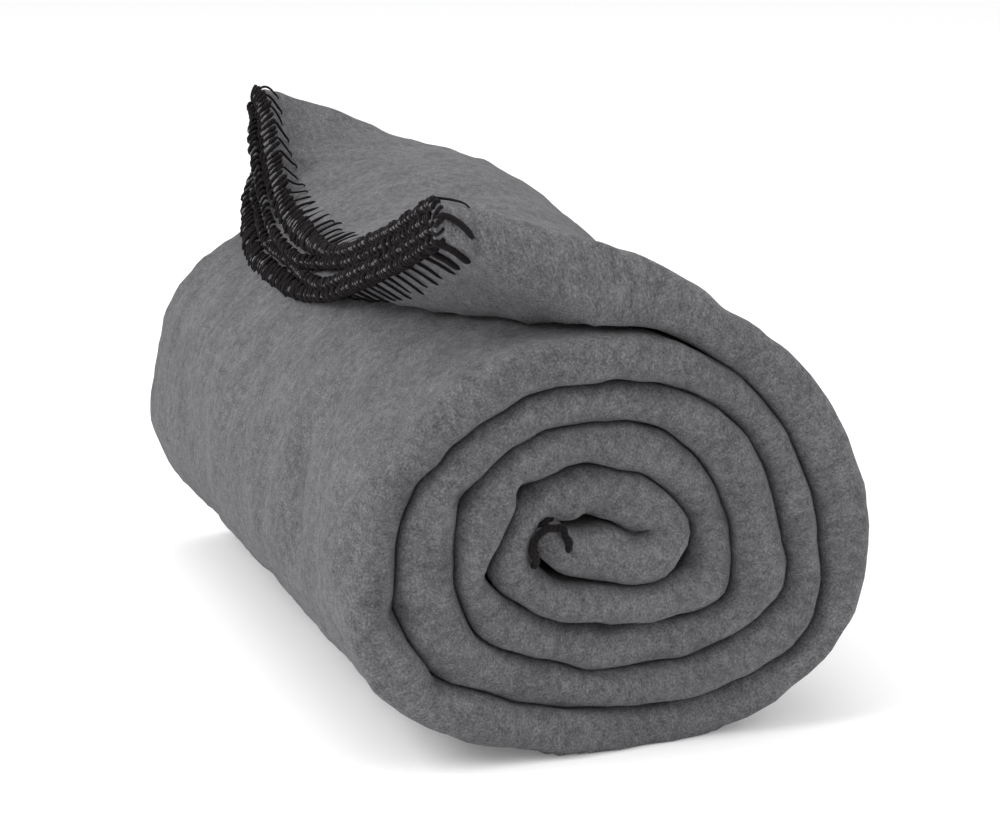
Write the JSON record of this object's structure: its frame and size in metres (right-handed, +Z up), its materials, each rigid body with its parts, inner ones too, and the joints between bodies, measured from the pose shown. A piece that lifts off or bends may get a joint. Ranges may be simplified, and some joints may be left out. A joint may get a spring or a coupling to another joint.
{
  "type": "rolled fleece throw",
  "caption": "Fleece throw folded four plies deep, rolled up and resting on its side, with its whip-stitched loose end lying over the top of the roll and free to lift.",
  "frame": {"origin": "on the resting face under the roll, midway along its length", "axes": "+Y along the roll away from its folded lips, +Z up, +X to the right as the lips are faced, the loose end lies over the top towards -X"},
  "size_m": [0.1838, 0.3173, 0.2006],
  "materials": {
    "fleece": "brushed heathered grey pile",
    "thread": "matt black twisted yarn"
  },
  "bodies": {
    "roll": {"fleece_roll": "fleece", "inner_end_stitching": "thread"},
    "loose_end": {"fleece_loose_end": "fleece", "outer_end_stitching": "thread"}
  },
  "joints": [
    {"name": "loose_end_lift", "type": "hinge", "parent": "roll", "child": "loose_end", "pos_m": [0.0371, 0, 0.1489], "axis": [0, 1, 0], "range_deg": [0, 45]}
  ]
}
